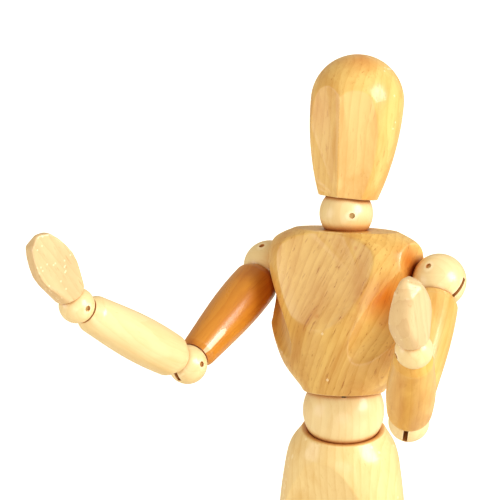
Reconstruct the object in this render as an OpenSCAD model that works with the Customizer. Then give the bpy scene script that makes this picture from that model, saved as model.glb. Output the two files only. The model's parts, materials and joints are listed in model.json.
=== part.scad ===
// Jointed wooden artist mannequin on a round base, in millimetres, +Z up, facing -Y.
// The origin is the centre of the base's underside. The figure's left is +X.
// Every joint is a wooden ball between two cups. A steel pin crosses the ball, and wire hooks and
// springs inside the pieces pull on that pin.

/* [Base and rod] */
// Diameter of the round base
base_d = 92; // [80:1:120]
// Thickness of the round base
base_h = 16; // [12:1:24]
// Bevel around the top edge of the base
base_bevel = 1.6; // [0.5:0.1:4]
// Diameter of the support rod
rod_d = 4; // [3:0.5:6]
// Distance of the rod behind the spine
rod_back = 7.5; // [6:0.5:9]
// Depth of the rod in the base
rod_in_base = 13; // [8:1:15]
// Height of the rod inside the pelvis
rod_in_pelvis = 17; // [10:1:20]
// Gap between the soles of straight legs and the base
foot_lift = 15; // [10:1:25]

/* [Ball joints] */
// Diameter of the waist ball
waist_ball_d = 21.4; // [18:0.5:23]
// Diameter of the neck ball
neck_ball_d = 14; // [11:0.5:16]
// Diameter of the shoulder balls
shoulder_ball_d = 14; // [13:0.1:15]
// Diameter of the elbow balls
elbow_ball_d = 10.2; // [9:0.1:11.5]
// Diameter of the wrist balls
wrist_ball_d = 9; // [8:0.1:10]
// Diameter of the hip balls
hip_ball_d = 13; // [12:0.1:14]
// Diameter of the knee balls
knee_ball_d = 11.4; // [10:0.1:12.5]
// Diameter of the ankle balls
ankle_ball_d = 9; // [8:0.1:10]
// Height of the waist ball's centre above each of its two cup rims
waist_seat = 5.25; // [4:0.25:7]
// Height of the neck ball's centre above each of its two cup rims
neck_seat = 4.2; // [3.5:0.1:5]
// Half opening angle of a limb's cup, seen from the ball's centre
cup_angle = 41; // [36:1:42]
// Thickness of a limb's wall at the rim of its cup
rim_wall = 0.35; // [0.3:0.05:0.6]
// Running clearance between a ball and its cup
ball_gap = 0.08; // [0.03:0.01:0.15]

/* [Pins, hooks and springs] */
// Diameter of the cross pins
pin_d = 1.5; // [1.2:0.1:1.8]
// Depth of a pin's ends below the ball's surface
pin_recess = 0.5; // [0.3:0.1:1]
// Diameter of the hook and spring wire
wire_d = 0.5; // [0.4:0.05:0.6]
// Clearance around the wire where it runs on a pin or in a slot
wire_gap = 0.05; // [0.03:0.01:0.08]
// Outer diameter of the springs
spring_d = 2.8; // [2.6:0.1:3]
// Clearance between a spring and its bore
spring_gap = 0.1; // [0.05:0.05:0.2]
// Distance from a ball's surface to the end of the spring behind it
spring_start = 3.2; // [2:0.1:4]
// Length of the short springs in the pelvis
short_spring_l = 7; // [5:0.5:8]

/* [Head and torso] */
// Height of the head
head_h = 37.2; // [34:1:42]
// Greatest diameter of the head
head_d = 24.2; // [22:0.1:27]
// Diameter of the flat under the head
head_base_d = 15.4; // [14.5:0.1:17]
// Distance of the two face planes from the head's axis, at its lower end
face_depth = 6.8; // [6.4:0.1:7.6]
// Backward slope of the face planes
face_slope = 9.8; // [6:0.2:11]
// Angle of each face plane to the side of the nose ridge
face_angle = 21; // [18:1:30]
// Distance between the centres of the waist ball and the neck ball
spine_l = 51.7; // [48:0.1:56]
// Greatest half width of the chest
chest_w = 22.4; // [21.5:0.1:24]
// Greatest half depth of the chest
chest_d = 14.2; // [12.5:0.1:15]
// Distance of the chest's flat sides from the middle
chest_side_x = 20.2; // [19.5:0.1:20.6]
// Radius of the round end above the waist ball
chest_base_r = 11.3; // [10.6:0.1:12]
// Radius of the hollow that clears each arm
armpit_r = 8.5; // [7.5:0.5:9.5]
// Distance of each shoulder ball from the middle
shoulder_x = 26.3; // [26:0.1:27.5]
// Distance of the shoulder balls behind the spine
shoulder_back = 3.4; // [3.3:0.1:4.5]
// Height of the shoulder balls above the waist ball
shoulder_z = 35.7; // [34:0.1:37]
// Height of the pelvis
pelvis_h = 34; // [32:1:38]
// Greatest half width of the pelvis
pelvis_w = 17.3; // [17.1:0.1:20]
// Greatest half depth of the pelvis
pelvis_d = 13.2; // [12.5:0.1:15]
// Radius of the round end below the waist ball
pelvis_rim_r = 11.6; // [10.8:0.1:12.5]
// Distance of each hip ball from the middle
hip_x = 10.6; // [10.2:0.1:12]

/* [Arms] */
// Distance between the centres of the shoulder and elbow balls
upper_arm_l = 41.5; // [37:0.5:46]
// Greatest diameter of the upper arm
upper_arm_d = 12.6; // [11.6:0.1:13]
// Distance between the centres of the elbow and wrist balls
forearm_l = 42; // [37:0.5:46]
// Greatest diameter of the forearm
forearm_d = 12; // [10.5:0.1:12.6]
// Length of the hand beyond the rim of its cup
hand_l = 19.5; // [17:0.5:23]
// Width of the hand
hand_w = 11.4; // [10:0.1:13]
// Thickness of the hand
hand_t = 6.6; // [6:0.1:8]

/* [Legs] */
// Distance between the centres of the hip and knee balls
thigh_l = 60; // [52:1:66]
// Greatest diameter of the thigh
thigh_d = 14.6; // [13.5:0.1:15.4]
// Distance between the centres of the knee and ankle balls
shin_l = 60; // [52:1:66]
// Greatest diameter of the shin
shin_d = 12.8; // [12:0.1:13.6]
// Height of the ankle ball's centre above the sole
ankle_h = 12.2; // [11:0.1:14]
// Length of the foot
foot_l = 31; // [27:0.5:36]
// Width of the foot
foot_w = 12; // [10.5:0.1:14]

/* [Pose of the torso and head] */
// Turn of the waist ball on the pelvis
waist_turn = 25; // [-60:0.5:60]
// Lean of the chest about the waist pin, negative is backward
waist_bow = -16; // [-40:0.1:40]
// Twist of the chest about its own axis
chest_twist = -33; // [-60:0.5:60]
// Turn of the neck ball on the chest
neck_turn = -45; // [-90:0.5:90]
// Lean of the head about the neck pin
neck_nod = -5; // [-40:0.5:40]
// Turn of the head on its hook
head_turn = 55; // [-90:0.5:90]

/* [Pose of the left arm] */
// Turn of the left shoulder ball in its socket
shoulder_turn_left = 52; // [-180:0.5:180]
// Bend of the left arm away from the socket's axis
shoulder_bend_left = 80.5; // [0:0.5:92]
// Turn of the left elbow ball
elbow_turn_left = -116.5; // [-180:0.5:180]
// Bend of the left elbow
elbow_bend_left = 85.5; // [0:0.5:88]
// Turn of the left wrist ball
wrist_turn_left = 33; // [-180:0.5:180]
// Bend of the left wrist
wrist_bend_left = 20; // [0:0.5:80]
// Twist of the left hand about its own axis
hand_twist_left = -145; // [-180:1:180]

/* [Pose of the right arm] */
// Turn of the right shoulder ball in its socket
shoulder_turn_right = -33; // [-180:0.5:180]
// Bend of the right arm away from the socket's axis
shoulder_bend_right = 88; // [0:0.5:92]
// Turn of the right elbow ball
elbow_turn_right = 99.5; // [-180:0.5:180]
// Bend of the right elbow
elbow_bend_right = 59.5; // [0:0.5:88]
// Turn of the right wrist ball
wrist_turn_right = -13; // [-180:0.5:180]
// Bend of the right wrist
wrist_bend_right = 26.5; // [0:0.5:80]
// Twist of the right hand about its own axis
hand_twist_right = 88; // [-180:1:180]

/* [Pose of the legs] */
// Bend of both hips, forward
hip_bend = 0; // [-20:1:60]
// Bend of both knees, backward
knee_bend = 0; // [0:1:80]
// Outward turn of both feet
foot_out = 12; // [0:1:40]

/* [Hidden] */
$fn = 64;

// Height of a ball's centre above a limb's cup rim
function seat(ball_d) = ball_d / 2 * cos(cup_angle);
// Outer radius of a limb's rim
function rim_r(ball_d) = ball_d / 2 * sin(cup_angle) + rim_wall;

// Heights of the ball centres of straight legs and of the waist
ankle_z = base_h + foot_lift + ankle_h;
hip_z = ankle_z + shin_l + thigh_l;
hip_seat = seat(hip_ball_d);
pelvis_low_z = hip_z + hip_seat;
waist_z = pelvis_low_z + pelvis_h + waist_seat;

// Distance of a spring's end from the centre of the ball that it pulls on
function spring_at(ball_d) = ball_d / 2 + spring_start;

// The two wire eyes lie side by side on the pin, in the slot
eye_side = (wire_d + wire_gap) / 2;
eye_r = pin_d / 2 + wire_gap + wire_d / 2;
eye_outer_r = eye_r + wire_d / 2;
slot_w = 2 * wire_d + 3 * wire_gap;
slot_back = eye_outer_r + 2 * wire_gap;
shank_hole_r = eye_side + wire_d / 2 + 2 * wire_gap;
bead_r = shank_hole_r + 0.15;
bead_h = 0.6;
bead_in = 1.2;
bore_r = spring_d / 2 + spring_gap;
coil_pitch = 1;
far = 200;

// How far the wire of the next piece swings in each ball's slot, in degrees about the pin
torso_swing = [-40, 40];
shoulder_swing = [0, 90];
elbow_swing = [0, 92];
wrist_swing = [0, 76];
hip_swing = [-76, 20];
knee_swing = [0, 86];
ankle_swing = [-36, 36];

// ---- Frames: each module stands its children in the frame of one moving body ----

module in_waist_ball() translate([0, 0, waist_z]) rotate([0, 0, waist_turn]) children();

module in_spine() in_waist_ball() rotate([waist_bow, 0, 0]) children();

module in_chest() in_spine() rotate([0, 0, chest_twist]) children();

module in_neck_ball() in_chest() translate([0, 0, spine_l]) rotate([0, 0, neck_turn]) children();

module in_head_eye() in_neck_ball() rotate([neck_nod, 0, 0]) children();

module in_head() in_head_eye() rotate([0, 0, head_turn]) children();

// The side is 1 on the left and -1 on the right, and picks one of two values
function of_side(side, left_value, right_value) = side > 0 ? left_value : right_value;

module in_shoulder_socket(side)
    in_chest() translate([side * shoulder_x, shoulder_back, shoulder_z])
        rotate([0, side * 90, 0]) children();

module in_shoulder_ball(side)
    in_shoulder_socket(side)
        rotate([0, 0, of_side(side, shoulder_turn_left, shoulder_turn_right)]) children();

module in_upper_arm(side)
    in_shoulder_ball(side)
        rotate([of_side(side, shoulder_bend_left, shoulder_bend_right), 0, 0]) children();

module in_elbow_ball(side)
    in_upper_arm(side) translate([0, 0, upper_arm_l])
        rotate([0, 0, of_side(side, elbow_turn_left, elbow_turn_right)]) children();

module in_forearm(side)
    in_elbow_ball(side)
        rotate([of_side(side, elbow_bend_left, elbow_bend_right), 0, 0]) children();

module in_wrist_ball(side)
    in_forearm(side) translate([0, 0, forearm_l])
        rotate([0, 0, of_side(side, wrist_turn_left, wrist_turn_right)]) children();

module in_hand_eye(side)
    in_wrist_ball(side)
        rotate([of_side(side, wrist_bend_left, wrist_bend_right), 0, 0]) children();

module in_hand(side)
    in_hand_eye(side)
        rotate([0, 0, of_side(side, hand_twist_left, hand_twist_right)]) children();

// Below the waist a frame's z axis points down the leg
module in_hip_ball(side) translate([side * hip_x, 0, hip_z]) rotate([180, 0, 0]) children();

module in_thigh(side) in_hip_ball(side) rotate([-hip_bend, 0, 0]) children();

module in_knee_ball(side) in_thigh(side) translate([0, 0, thigh_l]) children();

module in_shin(side) in_knee_ball(side) rotate([knee_bend, 0, 0]) children();

module in_ankle_ball(side)
    in_shin(side) translate([0, 0, shin_l]) rotate([hip_bend - knee_bend, 0, 0]) children();

module in_foot(side) in_ankle_ball(side) rotate([0, 0, -side * foot_out]) children();

// ---- Shared shapes ----

// A ball with its saw slot, its pin hole and the hole for the hook that holds it.
// The hook's hole is on the -Z side. The slot is open around the +Z side, as far as the wire
// of the next piece swings in it: from swing[0] to swing[1], turned about the pin.
module slotted_ball(ball_d, swing) {
    difference() {
        sphere(d = ball_d);
        intersection() {
            cube([slot_w, 2 * ball_d, 2 * ball_d], center = true);
            rotate([swing[1], 0, 0])
                translate([0, 2 * ball_d - slot_back, 0])
                    cube(4 * ball_d, center = true);
            rotate([swing[0], 0, 0])
                translate([0, slot_back - 2 * ball_d, 0])
                    cube(4 * ball_d, center = true);
        }
        rotate([0, 90, 0])
            cylinder(h = 2 * ball_d, d = pin_d, center = true);
        translate([0, 0, -ball_d])
            cylinder(h = ball_d, r = shank_hole_r);
    }
}

// The cross pin, and the hook that joins it to the piece behind the ball
module pin_and_hook(ball_d) {
    pin_l = ball_d - 2 * pin_recess;
    reach = spring_at(ball_d) + bead_in;
    color("silver") {
        rotate([0, 90, 0])
            cylinder(h = pin_l, d = pin_d, center = true);
        wire_eye(eye_side, -1, reach + bead_h / 2);
        translate([0, 0, -reach - bead_h])
            cylinder(h = bead_h, r = bead_r);
    }
}

// A wire ring around the pin with a straight shank, to one side of the slot's middle
module wire_eye(side_offset, direction, shank_l) {
    translate([side_offset, 0, 0]) {
        rotate([0, 90, 0])
            rotate_extrude()
                translate([eye_r, 0])
                    circle(d = wire_d, $fn = 24);
        mirror([0, 0, direction < 0 ? 1 : 0])
            translate([0, 0, eye_r])
                cylinder(h = shank_l - eye_r, d = wire_d, $fn = 24);
    }
}

// The coils of a close-wound spring, from z = 0 up, with a hole in the end at each hooked end
module coils(length, low_hole_r, high_hole_r) {
    turns = round(length / coil_pitch);
    outer = spring_d / 2;
    inner = outer - wire_d;
    groove = wire_d / 4;
    step = length / turns;
    rotate_extrude()
        polygon(concat(
            [[low_hole_r, 0], [outer - groove, 0]],
            [for (i = [0 : turns - 1], p = [[outer, i + 0.5], [outer - groove, i + 1]])
                [p[0], p[1] * step]],
            [[high_hole_r, length], [high_hole_r, length - wire_d], [inner, length - wire_d]],
            [[inner, wire_d], [low_hole_r, wire_d]]
        ));
}

// A limb's spring: an eye on the pin at its upper end, coils, and a lower end that either
// lets the next hook turn in it or has an eye of its own
module limb_spring(length, low_ball_d, high_ball_d, far_eye) {
    start = spring_at(low_ball_d);
    coil_l = length - start - spring_at(high_ball_d);
    color("gainsboro") {
        wire_eye(-eye_side, 1, start + wire_d);
        translate([0, 0, start])
            coils(coil_l, 0, far_eye ? 0 : shank_hole_r);
        if (far_eye)
            translate([0, 0, length])
                wire_eye(-eye_side, -1, spring_at(high_ball_d) + wire_d);
    }
}

// A ball's cup, cut out of the piece around it
module cup(ball_d) sphere(r = ball_d / 2 + ball_gap);

// A turned limb along z, from one ball's centre at z = 0 to the next at z = length.
// Its outline is one long arc with its widest place at bulge_z, and small bevels at the rims.
module limb(length, low_ball_d, high_ball_d, width, bulge_z, end_r) {
    low = seat(low_ball_d);
    high = length - seat(high_ball_d);
    half = width / 2;
    reach = max(bulge_z - low, high - bulge_z);
    sag = half - end_r;
    arc_r = (reach * reach + sag * sag) / (2 * sag);
    difference() {
        rotate_extrude()
            intersection() {
                translate([half - arc_r, bulge_z])
                    circle(r = arc_r, $fn = 360);
                polygon([
                    [0, low], [rim_r(low_ball_d), low],
                    [half + 1, low + (half + 1 - rim_r(low_ball_d)) * rim_slope],
                    [half + 1, high - (half + 1 - rim_r(high_ball_d)) * rim_slope],
                    [rim_r(high_ball_d), high], [0, high]
                ]);
            }
        cup(low_ball_d);
        translate([0, 0, length])
            cup(high_ball_d);
        translate([0, 0, -1])
            cylinder(h = length + 2, r = bore_r);
    }
}
rim_slope = 1.6;

// ---- Base and rod ----

module base_disc()
    color("burlywood")
        difference() {
            union() {
                cylinder(h = base_h - base_bevel, d = base_d);
                translate([0, 0, base_h - base_bevel])
                    cylinder(h = base_bevel, d1 = base_d, d2 = base_d - 2 * base_bevel);
            }
            translate([0, rod_back, base_h - rod_in_base])
                cylinder(h = base_h, d = rod_d);
        }

module support_rod()
    color("silver")
        translate([0, rod_back, base_h - rod_in_base])
            cylinder(h = pelvis_low_z + rod_in_pelvis - base_h + rod_in_base, d = rod_d);

// ---- Torso ----

slice_h = 0.2;

// A thin elliptical slice from height z up, which the torso's hulls pass through
module slice(z, half_w, half_d)
    translate([0, 0, z])
        scale([half_w, half_d, 1])
            cylinder(h = slice_h, r = 1, $fn = 48);

rod_gap = 0.1;
pelvis_top_z = waist_z - waist_seat;
// Depth of the top of the pelvis's arched flat below its rim, and the flat's tilt
pelvis_flat_drop = 5;
pelvis_flat_tilt = 13.5;

module pelvis()
    color("wheat")
        difference() {
            hull() {
                slice(pelvis_top_z - slice_h, pelvis_rim_r - 0.5, pelvis_rim_r - 0.5);
                slice(pelvis_top_z - 1, pelvis_rim_r, pelvis_rim_r);
                slice(pelvis_top_z - 5, pelvis_w - 3.1, pelvis_d - 0.2);
                slice(pelvis_top_z - 11, pelvis_w - 1.6, pelvis_d);
                slice(pelvis_low_z + 0.32 * pelvis_h, pelvis_w, pelvis_d);
                slice(pelvis_low_z + 0.12 * pelvis_h, pelvis_w - 0.4, pelvis_d - 1.4);
                slice(pelvis_low_z, pelvis_w - 2, pelvis_d - 4);
            }
            translate([0, 0, waist_z]) cup(waist_ball_d);
            translate([0, 0, waist_z - spring_at(waist_ball_d) - short_spring_l])
                cylinder(h = waist_ball_d, d = spring_d);
            for (side = [-1, 1])
                translate([side * hip_x, 0, hip_z]) {
                    cup(hip_ball_d);
                    cylinder(h = spring_at(hip_ball_d) + short_spring_l, d = spring_d);
                }
            translate([0, rod_back, pelvis_low_z - 1])
                cylinder(h = rod_in_pelvis + 2, r = rod_d / 2 + rod_gap);
            // The arched flat on the front
            translate([0, 0.3 - pelvis_d, pelvis_top_z - pelvis_flat_drop])
                rotate([pelvis_flat_tilt, 0, 0])
                    translate([-far / 2, -far, -far / 2]) cube(far);
        }

// Three short springs: one holds the waist hook, and two hold the hip hooks
module pelvis_springs()
    color("gainsboro") {
        translate([0, 0, waist_z - spring_at(waist_ball_d) - short_spring_l])
            coils(short_spring_l, spring_d / 2 - wire_d, shank_hole_r);
        for (side = [-1, 1])
            translate([side * hip_x, 0, hip_z + spring_at(hip_ball_d)])
                coils(short_spring_l, shank_hole_r, spring_d / 2 - wire_d);
    }

module waist_ball() color("wheat") in_waist_ball() slotted_ball(waist_ball_d, torso_swing);

module waist_pin_hook() in_waist_ball() pin_and_hook(waist_ball_d);

chest_top = spine_l - neck_seat;
chest_front_top = 8.6;
chest_front_slope = 12;
// Place and tilt of the hollow in front of each shoulder, from the shoulder ball's centre
armpit_front = 11.6;
armpit_drop = 3.2;
armpit_tilt = [-25.5, 35];
armpit_l = 60;

module chest()
    color("burlywood")
        in_chest()
            difference() {
                hull() {
                    slice(waist_seat, chest_base_r - 0.4, chest_base_r - 0.4);
                    slice(waist_seat + 1, chest_base_r, chest_base_r);
                    slice(waist_seat + 7, chest_w - 4.9, chest_d - 1.6);
                    slice(waist_seat + 16, chest_w - 1.2, chest_d - 0.4);
                    slice(shoulder_z - 7, chest_w - 0.4, chest_d);
                    slice(shoulder_z + 4, chest_w, chest_d - 0.4);
                    slice(chest_top - 3, chest_w - 1.4, chest_d - 2.4);
                    slice(chest_top - slice_h, chest_w - 7.4, chest_d - 5.4);
                }
                // The flat sides that hold the arm sockets
                for (side = [-1, 1])
                    translate([side * (chest_side_x + far / 2), 0, shoulder_z])
                        cube(far, center = true);
                cup(waist_ball_d);
                translate([0, 0, spine_l]) cup(neck_ball_d);
                cylinder(h = spine_l, r = bore_r);
                for (side = [-1, 1]) {
                    translate([side * shoulder_x, shoulder_back, shoulder_z])
                        cup(shoulder_ball_d);
                    // The hollow in front of each shoulder
                    translate([side * shoulder_x, shoulder_back - armpit_front,
                               shoulder_z - armpit_drop])
                        rotate([armpit_tilt[0], side * armpit_tilt[1], 0])
                            cylinder(h = armpit_l, r = armpit_r, center = true);
                }
                translate([0, shoulder_back, shoulder_z])
                    rotate([0, 90, 0])
                        cylinder(h = 2 * shoulder_x, r = bore_r, center = true);
                // The flat slope of the upper front
                translate([0, -chest_front_top, chest_top])
                    rotate([-chest_front_slope, 0, 0])
                        translate([-far / 2, -far, -far / 2]) cube(far);
            }

module spine_spring()
    in_spine() limb_spring(spine_l, waist_ball_d, neck_ball_d, false);

module shoulder_spring()
    color("gainsboro")
        in_chest()
            translate([0, shoulder_back, shoulder_z])
                rotate([0, 90, 0])
                    translate([0, 0, spring_at(shoulder_ball_d) - shoulder_x])
                        coils(2 * (shoulder_x - spring_at(shoulder_ball_d)), shank_hole_r,
                              shank_hole_r);

// ---- Neck and head ----

module neck_ball() color("wheat") in_neck_ball() slotted_ball(neck_ball_d, torso_swing);

module neck_pin_hook() in_neck_ball() pin_and_hook(neck_ball_d);

screw_l = 8;

// An eye on the pin whose shank ends in a screw, from the ball's centre up
module screw_eye(ball_d)
    color("silver") {
        wire_eye(-eye_side, 1, spring_at(ball_d) + bead_h);
        translate([0, 0, spring_at(ball_d)])
            cylinder(h = screw_l, r = bead_r);
    }

// The hole for a screw eye, with a gap around its screw if the piece turns on it
module screw_eye_hole(ball_d, gap) {
    cylinder(h = spring_at(ball_d), r = bead_r + 0.2);
    cylinder(h = spring_at(ball_d) + screw_l + gap, r = bead_r + gap);
}

module head_screw_eye() in_head_eye() screw_eye(neck_ball_d);

module head() {
    top_r = head_d / 2;
    crown_z = head_h - top_r;
    sag = (head_d - head_base_d) / 2;
    jaw_arc_r = (crown_z * crown_z + sag * sag) / (2 * sag);
    color("burlywood")
        in_head()
            difference() {
                translate([0, 0, neck_seat])
                    difference() {
                        union() {
                            translate([0, 0, crown_z]) sphere(r = top_r);
                            rotate_extrude()
                                intersection() {
                                    translate([top_r - jaw_arc_r, crown_z])
                                        circle(r = jaw_arc_r, $fn = 360);
                                    square([top_r, crown_z]);
                                }
                        }
                        // The two flat planes of the face, which meet in the nose ridge
                        for (side = [-1, 1])
                            rotate([0, 0, side * face_angle])
                                translate([0, -face_depth, 0])
                                    rotate([face_slope, 0, 0])
                                        translate([-far / 2, -far, -far / 2]) cube(far);
                    }
                cup(neck_ball_d);
                screw_eye_hole(neck_ball_d, wire_gap);
            }
}

// ---- Arms ----

module shoulder_ball(side)
    color("wheat")
        in_shoulder_ball(side) slotted_ball(shoulder_ball_d, shoulder_swing);

module shoulder_pin_hook(side)
    in_shoulder_ball(side) pin_and_hook(shoulder_ball_d);

module upper_arm(side)
    color("peru")
        in_upper_arm(side)
            limb(upper_arm_l, shoulder_ball_d, elbow_ball_d, upper_arm_d, 12.5, 4.5);

module upper_arm_spring(side)
    in_upper_arm(side)
        limb_spring(upper_arm_l, shoulder_ball_d, elbow_ball_d, false);

module elbow_ball(side) color("wheat") in_elbow_ball(side) slotted_ball(elbow_ball_d, elbow_swing);

module elbow_pin_hook(side) in_elbow_ball(side) pin_and_hook(elbow_ball_d);

module forearm(side)
    color("wheat")
        in_forearm(side)
            limb(forearm_l, elbow_ball_d, wrist_ball_d, forearm_d, 18, 4.6);

module forearm_spring(side)
    in_forearm(side)
        limb_spring(forearm_l, elbow_ball_d, wrist_ball_d, false);

module wrist_ball(side) color("wheat") in_wrist_ball(side) slotted_ball(wrist_ball_d, wrist_swing);

module wrist_pin_hook(side) in_wrist_ball(side) pin_and_hook(wrist_ball_d);

module hand_screw_eye(side) in_hand_eye(side) screw_eye(wrist_ball_d);

// The hand's outline: a share of its length, and how far the edge there is in from its widest
hand_outline = [[0.28, 0.7], [0.38, 0.2], [0.5, 0], [0.62, 0.4], [0.74, 1.1], [0.84, 2]];
hand_tip_r = 1.7;

// A leaf, like a mitten with its fingers together, with a flat palm on its +Y side
module hand(side) {
    low = seat(wrist_ball_d);
    edge_r = 2;
    color("navajowhite")
        in_hand(side)
            difference() {
                hull() {
                    translate([0, 0, low])
                        cylinder(h = 1, r1 = rim_r(wrist_ball_d), r2 = hand_t / 2 + 0.4, $fn = 32);
                    for (s = [-1, 1], at = hand_outline)
                        translate([s * (hand_w / 2 - edge_r - at[1]), 0, low + at[0] * hand_l])
                            scale([1, hand_t / 2 / edge_r, 1]) sphere(r = edge_r, $fn = 24);
                    translate([0, 0, low + hand_l - hand_tip_r])
                        sphere(r = hand_tip_r, $fn = 24);
                }
                cup(wrist_ball_d);
                screw_eye_hole(wrist_ball_d, 0);
                // The palm
                translate([-far / 2, hand_t / 2 - 0.7, low + 3.4])
                    rotate([8, 0, 0]) cube(far);
            }
}

// ---- Legs ----

module hip_ball(side) color("wheat") in_hip_ball(side) slotted_ball(hip_ball_d, hip_swing);

module hip_pin_hook(side) in_hip_ball(side) pin_and_hook(hip_ball_d);

module thigh(side)
    color("burlywood")
        in_thigh(side) limb(thigh_l, hip_ball_d, knee_ball_d, thigh_d, 20, 5.4);

module thigh_spring(side)
    in_thigh(side) limb_spring(thigh_l, hip_ball_d, knee_ball_d, false);

module knee_ball(side) color("wheat") in_knee_ball(side) slotted_ball(knee_ball_d, knee_swing);

module knee_pin_hook(side) in_knee_ball(side) pin_and_hook(knee_ball_d);

module shin(side)
    color("wheat")
        in_shin(side) limb(shin_l, knee_ball_d, ankle_ball_d, shin_d, 18, 3.9);

module shin_spring(side)
    in_shin(side) limb_spring(shin_l, knee_ball_d, ankle_ball_d, true);

// The ankle's hook points down into the foot, so its slot opens upward
module ankle_ball(side)
    color("wheat") in_ankle_ball(side) mirror([0, 0, 1]) slotted_ball(ankle_ball_d, ankle_swing);

ankle_bead_z = 7.4;

module ankle_pin_hook(side)
    in_ankle_ball(side)
        color("silver") {
            rotate([0, 90, 0])
                cylinder(h = ankle_ball_d - 2 * pin_recess, d = pin_d, center = true);
            wire_eye(eye_side, 1, ankle_bead_z + bead_h / 2);
            translate([0, 0, ankle_bead_z]) cylinder(h = bead_h, r = bead_r);
        }

// A wedge with a round heel and toe, flat sole at z = ankle_h of its downward frame
module foot(side) {
    low = seat(ankle_ball_d);
    heel = 0.27 * foot_l;
    color("burlywood")
        in_foot(side)
            difference() {
                hull() {
                    translate([0, 0, low])
                        cylinder(h = 1, r1 = rim_r(ankle_ball_d), r2 = rim_r(ankle_ball_d) + 0.6,
                                 $fn = 32);
                    translate([0, -(heel - 0.42 * foot_w), ankle_h - 3])
                        cylinder(h = 3, r = 0.42 * foot_w, $fn = 32);
                    translate([0, foot_l - heel - foot_w / 2, ankle_h - 3.2])
                        cylinder(h = 3.2, r = foot_w / 2, $fn = 32);
                }
                cup(ankle_ball_d);
                cylinder(h = far, r = shank_hole_r);
                translate([0, 0, ankle_bead_z]) cylinder(h = far, r = bead_r + 0.2);
            }
}

// ---- Everything, one line per node ----

base_disc();
support_rod();
pelvis();
pelvis_springs();
waist_ball();
waist_pin_hook();
chest();
spine_spring();
shoulder_spring();
neck_ball();
neck_pin_hook();
head_screw_eye();
head();
for (side = [1, -1]) {
    tail = side > 0 ? "_left" : "_right";
    shoulder_ball(side);
    shoulder_pin_hook(side);
    upper_arm(side);
    upper_arm_spring(side);
    elbow_ball(side);
    elbow_pin_hook(side);
    forearm(side);
    forearm_spring(side);
    wrist_ball(side);
    wrist_pin_hook(side);
    hand_screw_eye(side);
    hand(side);
    hip_ball(side);
    hip_pin_hook(side);
    thigh(side);
    thigh_spring(side);
    knee_ball(side);
    knee_pin_hook(side);
    shin(side);
    shin_spring(side);
    ankle_ball(side);
    ankle_pin_hook(side);
    foot(side);
}
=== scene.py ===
# %% [markdown]
# # A jointed wooden mannequin, clear-varnished
#
# An artist's mannequin is a bag of turned and carved wooden pieces held together by springs.
# Every joint is a wooden ball between two cups, with a steel pin across it. This lesson takes the
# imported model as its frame, which says where every ball, cup and pin is, and dresses it: turned
# limbs, carved torso and head, sanded edges, grain that runs along each piece, and varnish.

# %% Open the frame
import json
import math

import bpy
from mathutils import Matrix, Vector


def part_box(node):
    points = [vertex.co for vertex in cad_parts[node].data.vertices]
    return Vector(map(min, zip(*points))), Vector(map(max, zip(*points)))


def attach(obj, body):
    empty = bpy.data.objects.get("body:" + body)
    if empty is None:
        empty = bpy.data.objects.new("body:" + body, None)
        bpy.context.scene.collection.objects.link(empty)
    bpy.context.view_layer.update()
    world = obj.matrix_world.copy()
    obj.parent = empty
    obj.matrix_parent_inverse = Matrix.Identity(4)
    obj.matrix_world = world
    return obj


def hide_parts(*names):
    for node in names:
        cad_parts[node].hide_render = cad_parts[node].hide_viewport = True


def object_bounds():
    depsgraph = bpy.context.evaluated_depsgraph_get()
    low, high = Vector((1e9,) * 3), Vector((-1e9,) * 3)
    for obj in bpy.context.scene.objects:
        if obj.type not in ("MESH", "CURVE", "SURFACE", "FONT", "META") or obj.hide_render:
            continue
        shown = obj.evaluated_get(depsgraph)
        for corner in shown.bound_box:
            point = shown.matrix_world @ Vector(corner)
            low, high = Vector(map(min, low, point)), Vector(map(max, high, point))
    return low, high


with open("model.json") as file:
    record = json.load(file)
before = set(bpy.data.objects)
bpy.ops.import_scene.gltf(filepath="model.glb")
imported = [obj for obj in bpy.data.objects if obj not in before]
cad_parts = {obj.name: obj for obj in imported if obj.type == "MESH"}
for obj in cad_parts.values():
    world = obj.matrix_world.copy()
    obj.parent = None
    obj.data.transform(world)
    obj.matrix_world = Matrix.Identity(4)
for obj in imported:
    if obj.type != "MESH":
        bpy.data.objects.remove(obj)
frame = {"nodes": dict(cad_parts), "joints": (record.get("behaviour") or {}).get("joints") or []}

MM = 0.001
cad_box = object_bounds()

# %% [markdown]
# ## Where things are
#
# Each joint in the frame has a centre and an axis. A ball's turn axis runs along the piece that
# holds it, and its bend axis is its steel pin. Two such directions and a centre fix a piece
# completely, so a piece can be modelled upright at the world's origin, where it is easy to think
# about, and then be stood in its place with one matrix.

# %% Centres, axes and the matrix that stands a piece in its place
joints = {row["name"]: row for row in frame["joints"]}
SIDES = ("left", "right")
END_DEPTH = 0.1 * MM


def centre(joint):
    """The centre of the ball that a joint turns about."""
    return Vector(joints[joint]["pos_m"])


def axis(joint):
    """The direction of a joint's axis."""
    return Vector(joints[joint]["axis"]).normalized()


def stand(origin, along, across):
    """The matrix that puts z along a piece, and x across it."""
    up = along.normalized()
    side = (across - across.dot(up) * up).normalized()
    turned = Matrix((side, up.cross(side), up)).transposed().to_4x4()
    return Matrix.Translation(origin) @ turned


def far_end(node, origin):
    """The middle of a node's far end: the mean of its points that are furthest from a point."""
    points = [vertex.co for vertex in frame["nodes"][node].data.vertices]
    reach = max((point - origin).length for point in points)
    last = [point for point in points if (point - origin).length > reach - END_DEPTH]
    return sum(last, Vector()) / len(last)


def ball_diameter(node):
    """A ball's diameter, from the point of its CAD node that is furthest from its middle."""
    name, _, side = node.partition("_ball")
    middle = centre(f"ankle_bend{side}" if name == "ankle" else f"{name}_turn{side}")
    points = frame["nodes"][node].data.vertices
    return 2 * max((vertex.co - middle).length for vertex in points)


print("the waist ball is", round(ball_diameter("waist_ball") / MM, 2), "mm across")

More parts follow.
